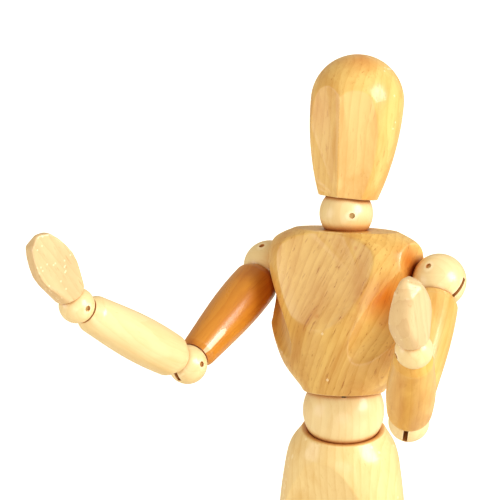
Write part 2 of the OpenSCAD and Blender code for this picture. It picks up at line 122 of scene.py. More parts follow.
# %% [markdown]
# ## The camera
#
# The camera looks a little down on the figure, from the side of its folded left arm. It stands
# far off with a long lens, which keeps the proportions true: a wide lens close by would swell
# whatever is nearest. The view takes in the head, both arms and the waist. It comes first, so that
# every later step can be looked at.

# %% Camera
CAMERA_AZIMUTH = math.radians(27)
CAMERA_HEIGHT_ANGLE = math.radians(21.9)
CAMERA_DISTANCE = 0.650
# The lens and the sensor are in millimetres, as a camera maker gives them
CAMERA_LENS = 178.6
SENSOR_WIDTH = 36
CLIP_START = 0.01
AIM_FROM_WAIST = Vector((-28.9, 2.7, 38.9)) * MM

aim = centre("waist_turn") + AIM_FROM_WAIST
towards_camera = Vector((
    math.sin(CAMERA_AZIMUTH) * math.cos(CAMERA_HEIGHT_ANGLE),
    -math.cos(CAMERA_AZIMUTH) * math.cos(CAMERA_HEIGHT_ANGLE),
    math.sin(CAMERA_HEIGHT_ANGLE),
))
bpy.ops.object.camera_add(
    location=aim + CAMERA_DISTANCE * towards_camera,
    rotation=(math.pi / 2 - CAMERA_HEIGHT_ANGLE, 0, CAMERA_AZIMUTH),
)
camera = bpy.context.object
camera.name = "studio_camera"
camera.data.lens = CAMERA_LENS
camera.data.sensor_width = SENSOR_WIDTH
camera.data.clip_start = CLIP_START
bpy.context.scene.camera = camera
# Plain colour, with no film curve, keeps the varnish warm and the paper white
bpy.context.scene.view_settings.view_transform = "Standard"
print("the camera stands", round(CAMERA_DISTANCE, 3), "m from", [round(v, 4) for v in aim])

# %% [markdown]
# ## The studio
#
# A white floor and large soft lamps leave almost no shadows, so the wood's own colour and the
# broad highlights in its varnish carry the picture. White paper is seen as white, but paint that
# white would also throw cold light on the wood. A Light Path node tells the two apart: it is one
# for what the lens sees itself, and nought for light on its way to the figure.

# %% Floor
FLOOR_SIZE = 12.0
FLOOR_GAP = 0.05 * MM
bpy.ops.mesh.primitive_plane_add(size=FLOOR_SIZE, location=(0, 0, cad_box[0].z - FLOOR_GAP))
floor = bpy.context.object
floor.name = "studio_floor"

floor_paint = bpy.data.materials.new("studio_white")
floor_paint.use_nodes = True
paint_shader = floor_paint.node_tree.nodes["Principled BSDF"]
paint_shader.inputs["Base Color"].default_value = (0.80, 0.74, 0.62, 1)
paint_shader.inputs["Roughness"].default_value = 0.7
# The floor shows pure white to the lens, but throws only its own paint's light on the wood
paint_shader.inputs["Emission Color"].default_value = (1, 1, 1, 1)
seen = floor_paint.node_tree.nodes.new("ShaderNodeLightPath").outputs["Is Camera Ray"]
floor_paint.node_tree.links.new(seen, paint_shader.inputs["Emission Strength"])
floor.data.materials.append(floor_paint)
print("the floor is", FLOOR_SIZE, "m wide")

# %% The air around
world = bpy.data.worlds.new("studio_air")
bpy.context.scene.world = world
world.use_nodes = True
air = world.node_tree
warm_air = air.nodes["Background"]
warm_air.inputs["Color"].default_value = (1.0, 0.82, 0.58, 1)
warm_air.inputs["Strength"].default_value = 0.62
white_air = air.nodes.new("ShaderNodeBackground")
white_air.inputs["Strength"].default_value = 1.0
air_choice = air.nodes.new("ShaderNodeMixShader")
air.links.new(air.nodes.new("ShaderNodeLightPath").outputs["Is Camera Ray"], air_choice.inputs[0])
air.links.new(warm_air.outputs[0], air_choice.inputs[1])
air.links.new(white_air.outputs[0], air_choice.inputs[2])
air.links.new(air_choice.outputs[0], air.nodes["World Output"].inputs["Surface"])
print("the air shines with strength", round(warm_air.inputs["Strength"].default_value, 2))

# %% [markdown]
# ## Lamps
#
# An area lamp is a square sheet of light, and the larger it is the softer are its shadows and
# highlights. The key lamp hangs high on the figure's left, a weaker one fills from its right, and
# a low one in front lifts the undersides.


# %% Lamps
LAMP_SIZE = 0.6


def lamp(name, offset, watts):
    """A square soft lamp at an offset from the aim, in metres, which it faces."""
    bpy.ops.object.light_add(type="AREA", location=aim + Vector(offset))
    light = bpy.context.object
    light.name = name
    light.data.size = LAMP_SIZE
    light.data.energy = watts
    light.rotation_euler = (-Vector(offset)).to_track_quat("-Z", "Y").to_euler()
    print(name, "gives", watts, "W")


lamp("key_lamp", (0.95, -0.05, 0.5), 12)
lamp("fill_lamp", (-0.8, -0.7, 0.1), 3.0)
lamp("front_lamp", (0.4, -0.9, -0.1), 2.4)

# %% [markdown]
# ## Wood grain
#
# A tree lays down a ring each year, pale early wood and then a thin darker line of late wood. A
# limb is cut along those rings, so its face shows long, slightly wavy lines along its length.
# Three things at different sizes make the look: the rings, fine short pores along the grain, and
# broad blotches where varnish soaks in deeper. A node tree is written most clearly as a chain of
# small functions that each add one node and hand on its output, so those come first.


# %% Node helpers
def node_of(tree, kind, inputs=(), **settings):
    """Adds a node, sets its properties, and sets or links its inputs."""
    node = tree.nodes.new(kind)
    for name, value in settings.items():
        setattr(node, name, value)
    for name, value in dict(inputs).items():
        if isinstance(value, bpy.types.NodeSocket):
            tree.links.new(value, node.inputs[name])
        else:
            node.inputs[name].default_value = value
    return node


def mix_colours(tree, share, first, second, blend="MIX"):
    """The colour output of a Mix node."""
    node = tree.nodes.new("ShaderNodeMix")
    node.data_type = "RGBA"
    node.blend_type = blend
    factor, a, b = node.inputs[0], node.inputs[6], node.inputs[7]
    for socket, value in ((factor, share), (a, first), (b, second)):
        if isinstance(value, bpy.types.NodeSocket):
            tree.links.new(value, socket)
        else:
            socket.default_value = value
    return node.outputs[2]


def spread(tree, value, low, high, to_low=0.0, to_high=1.0):
    """Maps a range of values onto another, and clamps it."""
    return node_of(tree, "ShaderNodeMapRange", {
        "Value": value, "From Min": low, "From Max": high, "To Min": to_low, "To Max": to_high,
    }).outputs["Result"]


def arithmetic(tree, operation, first, second):
    """The output of a Math node."""
    node = tree.nodes.new("ShaderNodeMath")
    node.operation = operation
    for socket, value in zip(node.inputs, (first, second)):
        if isinstance(value, bpy.types.NodeSocket):
            tree.links.new(value, socket)
        else:
            socket.default_value = value
    return node.outputs[0]


# %% [markdown]
# ## One group for all the wood
#
# All the wood shares one pattern, so it lives in one node group, and each piece's material turns
# the pattern along that piece with a Mapping node. Light and shade are painted into the colour
# too: sharp edges get a pale painted highlight, the rims of the cups and the gaps between pieces
# get dark painted shade, and wood that faces wood gets orange painted shade. The first is found
# with Geometry's Pointiness, and the others with Ambient Occlusion nodes that reach a short and a
# longer way.


# %% The wood grain group
# Painted light: a pale highlight for sharp edges, dark shade for cup rims and gaps, and orange shade
# for hollows, with the reach of each shade
PAINTED_EDGE_HIGHLIGHT = (0.95, 0.84, 0.58, 1)
PAINTED_RIM_SHADE = (0.45, 0.13, 0.015, 1)
PAINTED_HOLLOW_SHADE = (0.92, 0.62, 0.28, 1)
RIM_REACH = 2.6 * MM
HOLLOW_REACH = 15 * MM


def build_grain_group():
    """A group that turns a place in the wood, in metres, into its colour, gloss and height."""
    group = bpy.data.node_groups.new("wood_grain", "ShaderNodeTree")
    face = group.interface
    face.new_socket("Place", in_out="INPUT", socket_type="NodeSocketVector")
    for name in ("Pale", "Deep", "Blotch"):
        face.new_socket(name, in_out="INPUT", socket_type="NodeSocketColor")
    for name in ("Rings", "Pores", "Blotches", "Edges"):
        face.new_socket(name, in_out="INPUT", socket_type="NodeSocketFloat")
    face.new_socket("Colour", in_out="OUTPUT", socket_type="NodeSocketColor")
    face.new_socket("Roughness", in_out="OUTPUT", socket_type="NodeSocketFloat")
    face.new_socket("Height", in_out="OUTPUT", socket_type="NodeSocketFloat")
    given = group.nodes.new("NodeGroupInput").outputs
    made = group.nodes.new("NodeGroupOutput").inputs

    # The lines bend a little along the piece
    bend = node_of(group, "ShaderNodeTexNoise", {
        "Vector": node_of(group, "ShaderNodeMapping", {
            "Vector": given["Place"], "Scale": (60, 60, 22)}).outputs["Vector"],
        "Scale": 1.0, "Detail": 2.0, "Roughness": 0.5,
    }).outputs["Color"]
    bent = node_of(group, "ShaderNodeVectorMath", {
        0: given["Place"],
        1: node_of(group, "ShaderNodeVectorMath", {0: bend, 1: (0.006, 0.006, 0.006)},
                   operation="MULTIPLY").outputs["Vector"],
    }, operation="ADD").outputs["Vector"]

    # Growth rings, seen from the side as long lines
    rings = node_of(group, "ShaderNodeTexWave", {
        "Vector": node_of(group, "ShaderNodeMapping", {
            "Vector": bent, "Location": (0.031, 0.012, 0), "Scale": (1, 1, 0.13),
        }).outputs["Vector"],
        "Scale": 150.0, "Distortion": 2.6, "Detail": 3.0, "Detail Scale": 1.6,
        "Detail Roughness": 0.6,
    }, wave_type="RINGS", rings_direction="SPHERICAL", wave_profile="SAW").outputs["Fac"]
    late_wood = arithmetic(group, "POWER", rings, 3.0)

    # Fine pores and fibres, drawn out along the grain
    fibres = node_of(group, "ShaderNodeTexNoise", {
        "Vector": node_of(group, "ShaderNodeMapping", {
            "Vector": bent, "Scale": (1500, 1500, 90)}).outputs["Vector"],
        "Scale": 1.0, "Detail": 4.0, "Roughness": 0.65,
    }).outputs["Fac"]
    pores = spread(group, fibres, 0.60, 0.74)

    # Broad blotches where the varnish has soaked in
    soak = node_of(group, "ShaderNodeTexNoise", {
        "Vector": node_of(group, "ShaderNodeMapping", {
            "Vector": bent, "Scale": (150, 150, 48)}).outputs["Vector"],
        "Scale": 1.0, "Detail": 5.0, "Roughness": 0.6, "Distortion": 0.5,
    }).outputs["Fac"]
    blotches = spread(group, soak, 0.44, 0.70)

    colour = mix_colours(group, arithmetic(group, "MULTIPLY", late_wood, given["Rings"]),
                         given["Pale"], given["Deep"])
    colour = mix_colours(group, arithmetic(group, "MULTIPLY", blotches, given["Blotches"]),
                         colour, given["Blotch"])
    fine = spread(group, fibres, 0.3, 0.75, 0.0, 0.5)
    colour = mix_colours(group, arithmetic(group, "MULTIPLY", fine, given["Rings"]),
                         colour, given["Deep"])
    colour = mix_colours(group, arithmetic(group, "MULTIPLY", pores, given["Pores"]),
                         colour, given["Blotch"], "MULTIPLY")
    # Painted highlight: sharp edges are made pale, where light catches them
    sharp = node_of(group, "ShaderNodeNewGeometry").outputs["Pointiness"]
    edge_highlight_share = spread(group, sharp, 0.515, 0.56, 0.0, 0.55)
    colour = mix_colours(group, edge_highlight_share, colour, PAINTED_EDGE_HIGHLIGHT)
    # Painted shade: the cup rims, the slots and the gaps between pieces are darkened to a deep
    # orange brown
    corners = node_of(group, "ShaderNodeAmbientOcclusion", {"Distance": RIM_REACH},
                      samples=8, only_local=False).outputs["AO"]
    shade = arithmetic(group, "MULTIPLY", spread(group, corners, 0.80, 0.15), given["Edges"])
    colour = mix_colours(group, shade, colour, PAINTED_RIM_SHADE, "MULTIPLY")
    # Painted shade: hollows where wood faces wood are darkened to a deep orange, in place of shade
    # and of light bounced from wood to wood
    hollows = node_of(group, "ShaderNodeAmbientOcclusion", {"Distance": HOLLOW_REACH},
                      samples=8, only_local=False).outputs["AO"]
    hollow_shade_share = arithmetic(group, "MULTIPLY", spread(group, hollows, 0.85, 0.25), given["Edges"])
    colour = mix_colours(group, hollow_shade_share, colour, PAINTED_HOLLOW_SHADE, "MULTIPLY")
    group.links.new(colour, made["Colour"])
    group.links.new(spread(group, soak, 0.3, 0.7, 0.26, 0.40), made["Roughness"])
    height = arithmetic(group, "SUBTRACT", arithmetic(group, "MULTIPLY", late_wood, 0.35), pores)
    group.links.new(height, made["Height"])
    return group


grain_group = build_grain_group()
print("the grain group has", len(grain_group.nodes), "nodes")

# %% [markdown]
# ## The finishes
#
# The pieces of one figure come from different sticks, so they differ: the balls are almost
# cream, the right upper arm is the most orange, and the carved blocks are honey coloured with
# blotches. Each finish gives the grain group its own colours. The varnish is a coat on the
# shader, which gives the second, sharper highlight that a clear lacquer has. Where varnish ran
# together it left a stain, which is a ragged ball of colour round a spot. The same ragged ball
# also paints shade into the chest's hollows.

# %% Wood finishes, as pale wood, deep wood, blotches and the strength of each effect
FINISHES = {
    "cream": {
        "Pale": (0.87, 0.72, 0.40), "Deep": (0.72, 0.50, 0.19), "Blotch": (0.68, 0.42, 0.12),
        "Rings": 0.25, "Pores": 0.12, "Blotches": 0.3, "Edges": 0.9,
    },
    "pale": {
        "Pale": (0.86, 0.68, 0.33), "Deep": (0.70, 0.45, 0.13), "Blotch": (0.66, 0.37, 0.07),
        "Rings": 0.35, "Pores": 0.2, "Blotches": 0.45, "Edges": 0.95,
    },
    "honey": {
        "Pale": (0.82, 0.56, 0.19), "Deep": (0.62, 0.31, 0.05), "Blotch": (0.58, 0.24, 0.02),
        "Rings": 0.4, "Pores": 0.4, "Blotches": 0.6, "Edges": 0.95,
    },
    "head": {
        "Pale": (0.82, 0.57, 0.19), "Deep": (0.62, 0.32, 0.05), "Blotch": (0.58, 0.25, 0.02),
        "Rings": 0.35, "Pores": 0.6, "Blotches": 0.6, "Edges": 0.95,
    },
    "chest": {
        "Pale": (0.80, 0.55, 0.17), "Deep": (0.58, 0.28, 0.04), "Blotch": (0.50, 0.18, 0.012),
        "Rings": 0.45, "Pores": 0.9, "Blotches": 0.6, "Edges": 1.0,
    },
    "amber": {
        "Pale": (0.76, 0.47, 0.11), "Deep": (0.60, 0.28, 0.03), "Blotch": (0.54, 0.20, 0.012),
        "Rings": 0.4, "Pores": 0.4, "Blotches": 0.6, "Edges": 0.95,
    },
    "orange": {
        "Pale": (0.60, 0.25, 0.025), "Deep": (0.46, 0.14, 0.006), "Blotch": (0.42, 0.10, 0.003),
        "Rings": 0.45, "Pores": 0.4, "Blotches": 0.6, "Edges": 0.95,
    },
    "pink": {
        "Pale": (0.74, 0.56, 0.30), "Deep": (0.60, 0.38, 0.18), "Blotch": (0.55, 0.32, 0.13),
        "Rings": 0.4, "Pores": 0.5, "Blotches": 0.4, "Edges": 0.9,
    },
}
# The colour of a stain, used also as painted shade in the chest's hollows
STAIN_AND_SHADE = (0.80, 0.36, 0.06, 1)


def varnished_wood(name, finish, place, stains_and_shade=()):
    """A material whose grain runs along z of a matrix. A stain, or a patch of painted shade, is a
    spot, a radius and a depth.
    """
    material = bpy.data.materials.new(name)
    material.use_nodes = True
    tree = material.node_tree
    shader = tree.nodes["Principled BSDF"]
    here = node_of(tree, "ShaderNodeTexCoord").outputs["Object"]
    along = node_of(tree, "ShaderNodeMapping", {
        "Vector": here, "Location": place.to_translation(), "Rotation": place.to_euler(),
    }, vector_type="TEXTURE").outputs["Vector"]
    grain = tree.nodes.new("ShaderNodeGroup")
    grain.node_tree = grain_group
    tree.links.new(along, grain.inputs["Place"])
    for key, value in FINISHES[finish].items():
        grain.inputs[key].default_value = (*value, 1) if isinstance(value, tuple) else value
    colour = grain.outputs["Colour"]
    for spot, radius, depth in stains_and_shade:
        reach = node_of(tree, "ShaderNodeVectorMath", {0: here, 1: spot}, operation="DISTANCE")
        patchy = node_of(tree, "ShaderNodeTexNoise", {
            "Vector": along, "Scale": 160.0, "Detail": 3.0}).outputs["Fac"]
        ragged = arithmetic(tree, "ADD", reach.outputs["Value"],
                            arithmetic(tree, "MULTIPLY", patchy, 0.5 * radius))
        stain_and_shade_share = spread(tree, ragged, 1.2 * radius, 0.3 * radius, 0.0, depth)
        colour = mix_colours(tree, stain_and_shade_share, colour, STAIN_AND_SHADE, "MULTIPLY")
    tree.links.new(colour, shader.inputs["Base Color"])
    tree.links.new(grain.outputs["Roughness"], shader.inputs["Roughness"])
    bump = node_of(tree, "ShaderNodeBump", {
        "Height": grain.outputs["Height"], "Strength": 0.25, "Distance": 0.06 * MM,
    })
    tree.links.new(bump.outputs["Normal"], shader.inputs["Normal"])
    shader.inputs["Coat Weight"].default_value = 0.35
    shader.inputs["Coat Roughness"].default_value = 0.16
    shader.inputs["Specular IOR Level"].default_value = 0.45
    return material


def stains_and_shade_on(place, rows):
    """Stains and patches of painted shade of a piece, from rows of a spot in its own frame, a radius
    and a depth.
    """
    return [(place @ (Vector(spot) * MM), radius * MM, depth) for spot, radius, depth in rows]


def dress(node, material):
    """Puts one material on every slot of a CAD node."""
    piece = frame["nodes"][node]
    for slot in piece.material_slots:
        slot.material = material
    if not piece.material_slots:
        piece.data.materials.append(material)


print("there are", len(FINISHES), "finishes")


# %% [markdown]
# ## The shop's tools
#
# A turned piece is a ring that is drawn out and scaled again and again, which is what a lathe
# tool does along a spindle. A carved one is a loft whose rings are ellipses. Saw cuts are
# bisections, cups and holes are Boolean cuts, and the last tool is sandpaper: a fine voxel remesh
# and a few passes of Smooth round every edge by a hair, which is what catches the light on real
# varnished wood.


# %% Tools: lathe, saw, cutter and sandpaper
def deselect_all():
    """Nothing selected, and no piece in edit mode."""
    if bpy.context.object and bpy.context.object.mode != "OBJECT":
        bpy.ops.object.mode_set(mode="OBJECT")
    bpy.ops.object.select_all(action="DESELECT")


def select_only(piece):
    """Makes one piece the selected and active one."""
    deselect_all()
    piece.select_set(True)
    bpy.context.view_layer.objects.active = piece


def draw_out(name, rings, sides=96, closed=False):
    """A loft along z. A ring is (z, half width, half depth). A closed one meets its own start."""
    deselect_all()
    z, width, depth = rings[0]
    bpy.ops.mesh.primitive_circle_add(vertices=sides, radius=1, fill_type="NOTHING")
    piece = bpy.context.object
    piece.name = name
    bpy.ops.object.mode_set(mode="EDIT")
    bpy.ops.mesh.select_all(action="SELECT")
    bpy.ops.transform.resize(value=(width, depth, 1), center_override=(0, 0, 0))
    bpy.ops.transform.translate(value=(0, 0, z))
    for next_z, next_width, next_depth in rings[1:]:
        bpy.ops.mesh.extrude_region_move(
            TRANSFORM_OT_translate={"value": (0, 0, next_z - z)})
        bpy.ops.transform.resize(
            value=(next_width / width, next_depth / depth, 1), center_override=(0, 0, next_z))
        z, width, depth = next_z, next_width, next_depth
    bpy.ops.mesh.select_all(action="DESELECT")
    bpy.ops.mesh.select_mode(type="EDGE")
    bpy.ops.mesh.select_non_manifold()
    if closed:
        bpy.ops.mesh.bridge_edge_loops()
    else:
        bpy.ops.mesh.edge_face_add()
    bpy.ops.mesh.select_all(action="SELECT")
    bpy.ops.mesh.normals_make_consistent(inside=False)
    bpy.ops.object.mode_set(mode="OBJECT")
    return piece


def saw(piece, point, outwards):
    """Takes off everything beyond a plane, and closes the flat that is left."""
    select_only(piece)
    bpy.ops.object.mode_set(mode="EDIT")
    bpy.ops.mesh.select_all(action="SELECT")
    bpy.ops.mesh.bisect(plane_co=point, plane_no=outwards, use_fill=True, clear_outer=True)
    bpy.ops.object.mode_set(mode="OBJECT")


def cut_away(piece, cutter):
    """Subtracts a cutter from a piece with an applied Boolean, and removes the cutter."""
    select_only(piece)
    boolean = piece.modifiers.new("cut", "BOOLEAN")
    boolean.operation = "DIFFERENCE"
    boolean.solver = "MANIFOLD"
    boolean.object = cutter
    bpy.ops.object.modifier_apply(modifier=boolean.name)
    bpy.data.objects.remove(cutter)


def ball_cutter(radius, at=(0, 0, 0)):
    """A sphere that cuts a cup."""
    deselect_all()
    bpy.ops.mesh.primitive_uv_sphere_add(segments=96, ring_count=64, radius=radius, location=at)
    return bpy.context.object


def drill(radius, length, at=(0, 0, 0), turn=(0, 0, 0)):
    """A cylinder that cuts a hole, centred on a point."""
    deselect_all()
    bpy.ops.mesh.primitive_cylinder_add(
        vertices=64, radius=radius, depth=length, location=at, rotation=turn)
    return bpy.context.object


def sand(piece, grit, passes=4):
    """Rounds every edge a little: a new closed skin of faces as fine as the grit, then Smooth."""
    select_only(piece)
    remesh = piece.modifiers.new("remesh", "REMESH")
    remesh.mode = "VOXEL"
    remesh.voxel_size = grit
    remesh.use_smooth_shade = True
    bpy.ops.object.modifier_apply(modifier=remesh.name)
    smooth = piece.modifiers.new("smooth", "SMOOTH")
    smooth.factor = 0.5
    smooth.iterations = passes
    bpy.ops.object.modifier_apply(modifier=smooth.name)
    bpy.ops.object.shade_smooth()


def finish_piece(piece, place, body, slot, material, *nodes):
    """Stands a piece in its place, rides it on its body and gives it its finish."""
    piece.matrix_world = place
    select_only(piece)
    bpy.ops.object.transform_apply(location=True, rotation=True, scale=True)
    piece.data.materials.clear()
    piece.data.materials.append(material)
    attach(piece, body)
    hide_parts(*nodes)
    print(piece.name, "has", len(piece.data.polygons), "faces")


def smooth_line(points, steps):
    """Points along a smooth curve through some rows of numbers, by the Catmull-Rom rule."""
    rows = [points[0], *points, points[-1]]
    line = []
    for before, first, second, after in zip(rows, rows[1:], rows[2:], rows[3:]):
        for step in range(steps):
            t = step / steps
            line.append(tuple(
                0.5 * (2 * b + (c - a) * t + (2 * a - 5 * b + 4 * c - d) * t * t
                       + (3 * b - a - 3 * c + d) * t ** 3)
                for a, b, c, d in zip(before, first, second, after)))
    return [*line, points[-1]]


# %% [markdown]
# ## The frames of the pieces
#
# Every piece is stood by its ball's centre, the direction that it runs in, and the direction of
# the pin that it hangs on. Limbs run from ball to ball. The hands and the feet have no second
# ball, so the end of a hand's screw eye gives its direction, and a foot hangs straight down. A
# head, a hand or a foot also has a front, and its front is where its wood was cut away or reaches
# out, which the middle of its surface tells.


# %% Which way a piece faces, and how far it reaches
def facing(node, origin, along):
    """The direction, square to a piece's length, in which most of its surface lies."""
    mesh = frame["nodes"][node].data
    middle = Vector()
    area = 0
    for face in mesh.polygons:
        middle += face.area * face.center
        area += face.area
    offset = middle / area - origin
    return (offset - offset.dot(along) * along).normalized()


def extent(node, place):
    """A node's lowest and highest corners in a piece's own frame."""
    to_own = place.inverted()
    points = [to_own @ vertex.co for vertex in frame["nodes"][node].data.vertices]
    low = Vector(min(point[i] for point in points) for i in range(3))
    high = Vector(max(point[i] for point in points) for i in range(3))
    return low, high


def ball_centre(name, side):
    """The centre of one of the limbs' balls."""
    return centre(f"{name}_bend_{side}")


# %% Matrices
LIMBS = {
    "upper_arm": ("shoulder", "elbow"),
    "forearm": ("elbow", "wrist"),
    "thigh": ("hip", "knee"),
    "shin": ("knee", "ankle"),
}
UP = Vector((0, 0, 1))

places = {}
places["pelvis"] = stand(centre("waist_turn"), UP, Vector((1, 0, 0)))
to_left_shoulder = centre("shoulder_turn_left") - centre("shoulder_turn_right")
places["chest"] = stand(centre("waist_turn"), axis("neck_turn"), to_left_shoulder)
# The face planes take wood off the front of the head, so most of it lies behind
head_back = facing("head", centre("neck_turn"), axis("head_turn"))
places["head"] = stand(centre("neck_turn"), axis("head_turn"), head_back.cross(axis("head_turn")))

for side in SIDES:
    for limb, (first, second) in LIMBS.items():
        places[f"{limb}_{side}"] = stand(
            ball_centre(first, side),
            ball_centre(second, side) - ball_centre(first, side),
            axis(f"{first}_bend_{side}"),
        )
    # The palm takes wood off one side of the hand, so most of it lies towards the back
    wrist = ball_centre("wrist", side)
    along = (far_end(f"hand_screw_eye_{side}", wrist) - wrist).normalized()
    hand_back = facing(f"hand_{side}", wrist, along)
    places[f"hand_{side}"] = stand(wrist, along, along.cross(hand_back))
    ankle = ball_centre("ankle", side)
    toe = facing(f"foot_{side}", ankle, -UP)
    places[f"foot_{side}"] = stand(ankle, -UP, toe.cross(-UP))
print("frames:", ", ".join(sorted(places)))

# %% [markdown]
# ## Turned limbs
#
# An arm or a leg is turned from a square stick. It is fullest a little past the ball that it
# hangs on and slims towards the next one, with a small bevel round each rim. Each end is hollowed
# to the ball's own curve, and a bore for the spring joins the two cups. The whole outline, cups
# and bore included, is drawn as one closed run of rings, so the limb is one watertight skin.

# %% The outline of a limb
BALL_GAP = 0.08 * MM
# How far a cup reaches round its ball, and the thickness of the wood at its rim
CUP_ANGLE = math.radians(41)
RIM_WALL = 0.35 * MM
BORE_RADIUS = 1.5 * MM
# How much further along a limb its bevel runs than it rises
RIM_SLOPE = 1.6
RIM_ROUNDING = 0.28 * MM
# A limb's taper is part arc, which slims it all along, and part bell, which leaves its ends straight
ARC_SHARE = 0.6
LIMB_RINGS = 56
CUP_RINGS = 10
CREASE_ANGLE = math.radians(35)
# Where a limb is widest, as a share of its length, and its far end's share of that width
LIMB_SHAPES = {
    "upper_arm": (0.24, 0.72),
    "forearm": (0.38, 0.77),
    "thigh": (0.28, 0.74),
    "shin": (0.25, 0.61),
}


def rounded_smaller(first, second, rounding):
    """The smaller of two numbers, with the corner between them rounded."""
    near = max(rounding - abs(first - second), 0) / rounding
    return min(first, second) - near * near * rounding / 4


def cup_rings(ball_radius, rim_z, ball_z, direction):
    """The rings of a cup from its rim inwards to the bore."""
    rim_angle = math.acos(min(1, abs(rim_z - ball_z) / ball_radius))
    bore_angle = math.asin(BORE_RADIUS / ball_radius)
    rings = []
    for step in range(CUP_RINGS + 1):
        angle = rim_angle + (bore_angle - rim_angle) * step / CUP_RINGS
        radius = ball_radius * math.sin(angle)
        rings.append((ball_z + direction * ball_radius * math.cos(angle), radius, radius))
    return rings


def cup_radius(ball):
    """The radius of the cup that a ball turns in."""
    return ball_diameter(ball) / 2 + BALL_GAP


def rim_radius(ball):
    """The outer radius of a hand or a foot where it meets its ball."""
    return ball_diameter(ball) / 2 * math.sin(CUP_ANGLE) + RIM_WALL


def limb_rings(limb, low, high, widest, length, low_ball, high_ball):
    """All the rings of a limb, from one end of its bore round its outside to the other end."""
    share, slim = LIMB_SHAPES[limb]
    bulge = low + share * (high - low)
    reach = high - bulge
    drop = widest * (1 - slim)
    low_cup = cup_rings(low_ball, low, 0, 1)
    high_cup = cup_rings(high_ball, high, length, -1)
    low_rim = low_cup[0][1] + RIM_WALL
    high_rim = high_cup[0][1] + RIM_WALL
    outside = []
    for step in range(LIMB_RINGS + 1):
        # More rings near the rims, where the bevels are
        z = low + (high - low) * (0.5 - 0.5 * math.cos(math.pi * step / LIMB_RINGS))
        t = (z - bulge) / reach
        bell = 0.5 - 0.5 * math.cos(math.pi * min(abs(t), 1))
        turned = widest - drop * (ARC_SHARE * t * t + (1 - ARC_SHARE) * bell)
        bevel = min(low_rim + (z - low) / RIM_SLOPE, high_rim + (high - z) / RIM_SLOPE)
        radius = rounded_smaller(turned, bevel, RIM_ROUNDING)
        outside.append((z, radius, radius))
    return [*reversed(low_cup), *outside, *high_cup]


LIMB_FINISHES = {
    "upper_arm_left": "honey", "upper_arm_right": "orange",
    "forearm_left": "amber", "forearm_right": "cream",
    "thigh_left": "honey", "thigh_right": "orange",
    "shin_left": "pale", "shin_right": "cream",
}
LIMB_SLOTS = {
    "upper_arm": "honey_wood", "forearm": "pale_wood", "thigh": "honey_wood", "shin": "pale_wood",
}

# %% Turn the eight limbs
for side in SIDES:
    for limb, (first, second) in LIMBS.items():
        node = f"{limb}_{side}"
        place = places[node]
        low, high = extent(node, place)
        length = (ball_centre(second, side) - ball_centre(first, side)).length
        rings = limb_rings(
            limb, low.z, high.z, high.x, length,
            cup_radius(f"{first}_ball_{side}"), cup_radius(f"{second}_ball_{side}"),
        )
        piece = draw_out(f"turned_{node}", rings, closed=True)
        bpy.ops.object.shade_smooth_by_angle(angle=CREASE_ANGLE)
        wood = varnished_wood(f"{node}_wood", LIMB_FINISHES[node], place)
        finish_piece(piece, place, node, LIMB_SLOTS[limb], wood, node)

# %% [markdown]
# ## The head
#
# The head is turned as an egg: a long arc from the neck up to a round crown. Two flats are then
# planed on its front. They meet in a ridge, which is all the face there is. Sanding leaves the
# ridge and the arched outlines of the flats soft.

# %% Head
head_low, head_high = extent("head", places["head"])
# One stain on top of the crown, and one on a temple
HEAD_STAINS = [
    ((2, -5, head_high.z / MM - 1), 7, 0.55),
    ((-7, -6, 26), 7, 0.35),
]
CROWN_RADIUS = head_high.x
HEAD_BASE_RADIUS = 7.7 * MM
FACE_DEPTH = 6.8 * MM
FACE_SLOPE = math.radians(9.8)
FACE_ANGLE = math.radians(21)
HEAD_RINGS = 40
HEAD_GRIT = 0.2 * MM

crown_z = head_high.z - CROWN_RADIUS
jaw_height = crown_z - head_low.z
jaw_sag = CROWN_RADIUS - HEAD_BASE_RADIUS
jaw_arc = (jaw_height ** 2 + jaw_sag ** 2) / (2 * jaw_sag)
head_rings = []
for step in range(HEAD_RINGS + 1):
    z = head_low.z + jaw_height * step / HEAD_RINGS
    radius = CROWN_RADIUS - jaw_arc + math.sqrt(jaw_arc ** 2 - (crown_z - z) ** 2)
    head_rings.append((z, radius, radius))
for step in range(1, HEAD_RINGS):
    angle = 0.5 * math.pi * step / HEAD_RINGS
    radius = CROWN_RADIUS * math.cos(angle)
    head_rings.append((crown_z + CROWN_RADIUS * math.sin(angle), radius, radius))
head = draw_out("carved_head", head_rings, sides=128)
for turn in (-1, 1):
    outwards = Vector((0, -math.cos(FACE_SLOPE), -math.sin(FACE_SLOPE)))
    outwards.rotate(Matrix.Rotation(turn * FACE_ANGLE, 3, "Z"))
    flat = Vector((0, -FACE_DEPTH, head_low.z))
    flat.rotate(Matrix.Rotation(turn * FACE_ANGLE, 3, "Z"))
    saw(head, flat, outwards)
cut_away(head, ball_cutter(cup_radius("neck_ball")))
sand(head, HEAD_GRIT, passes=3)
head_wood = varnished_wood(
    "head_wood", "head", places["head"], stains_and_shade_on(places["head"], HEAD_STAINS))
finish_piece(head, places["head"], "head", "honey_wood", head_wood, "head")

# %% [markdown]
# ## The chest
#
# The chest is carved, not turned: a block whose section is a wide oval at the shoulders and a
# circle at the waist, with a long flat planed down from the neck and a hollow scooped in front of
# each shoulder so that the arm can swing. It is lofted through a few ovals with a smooth curve
# between them, and then sawn, cut and sanded as the real one is.

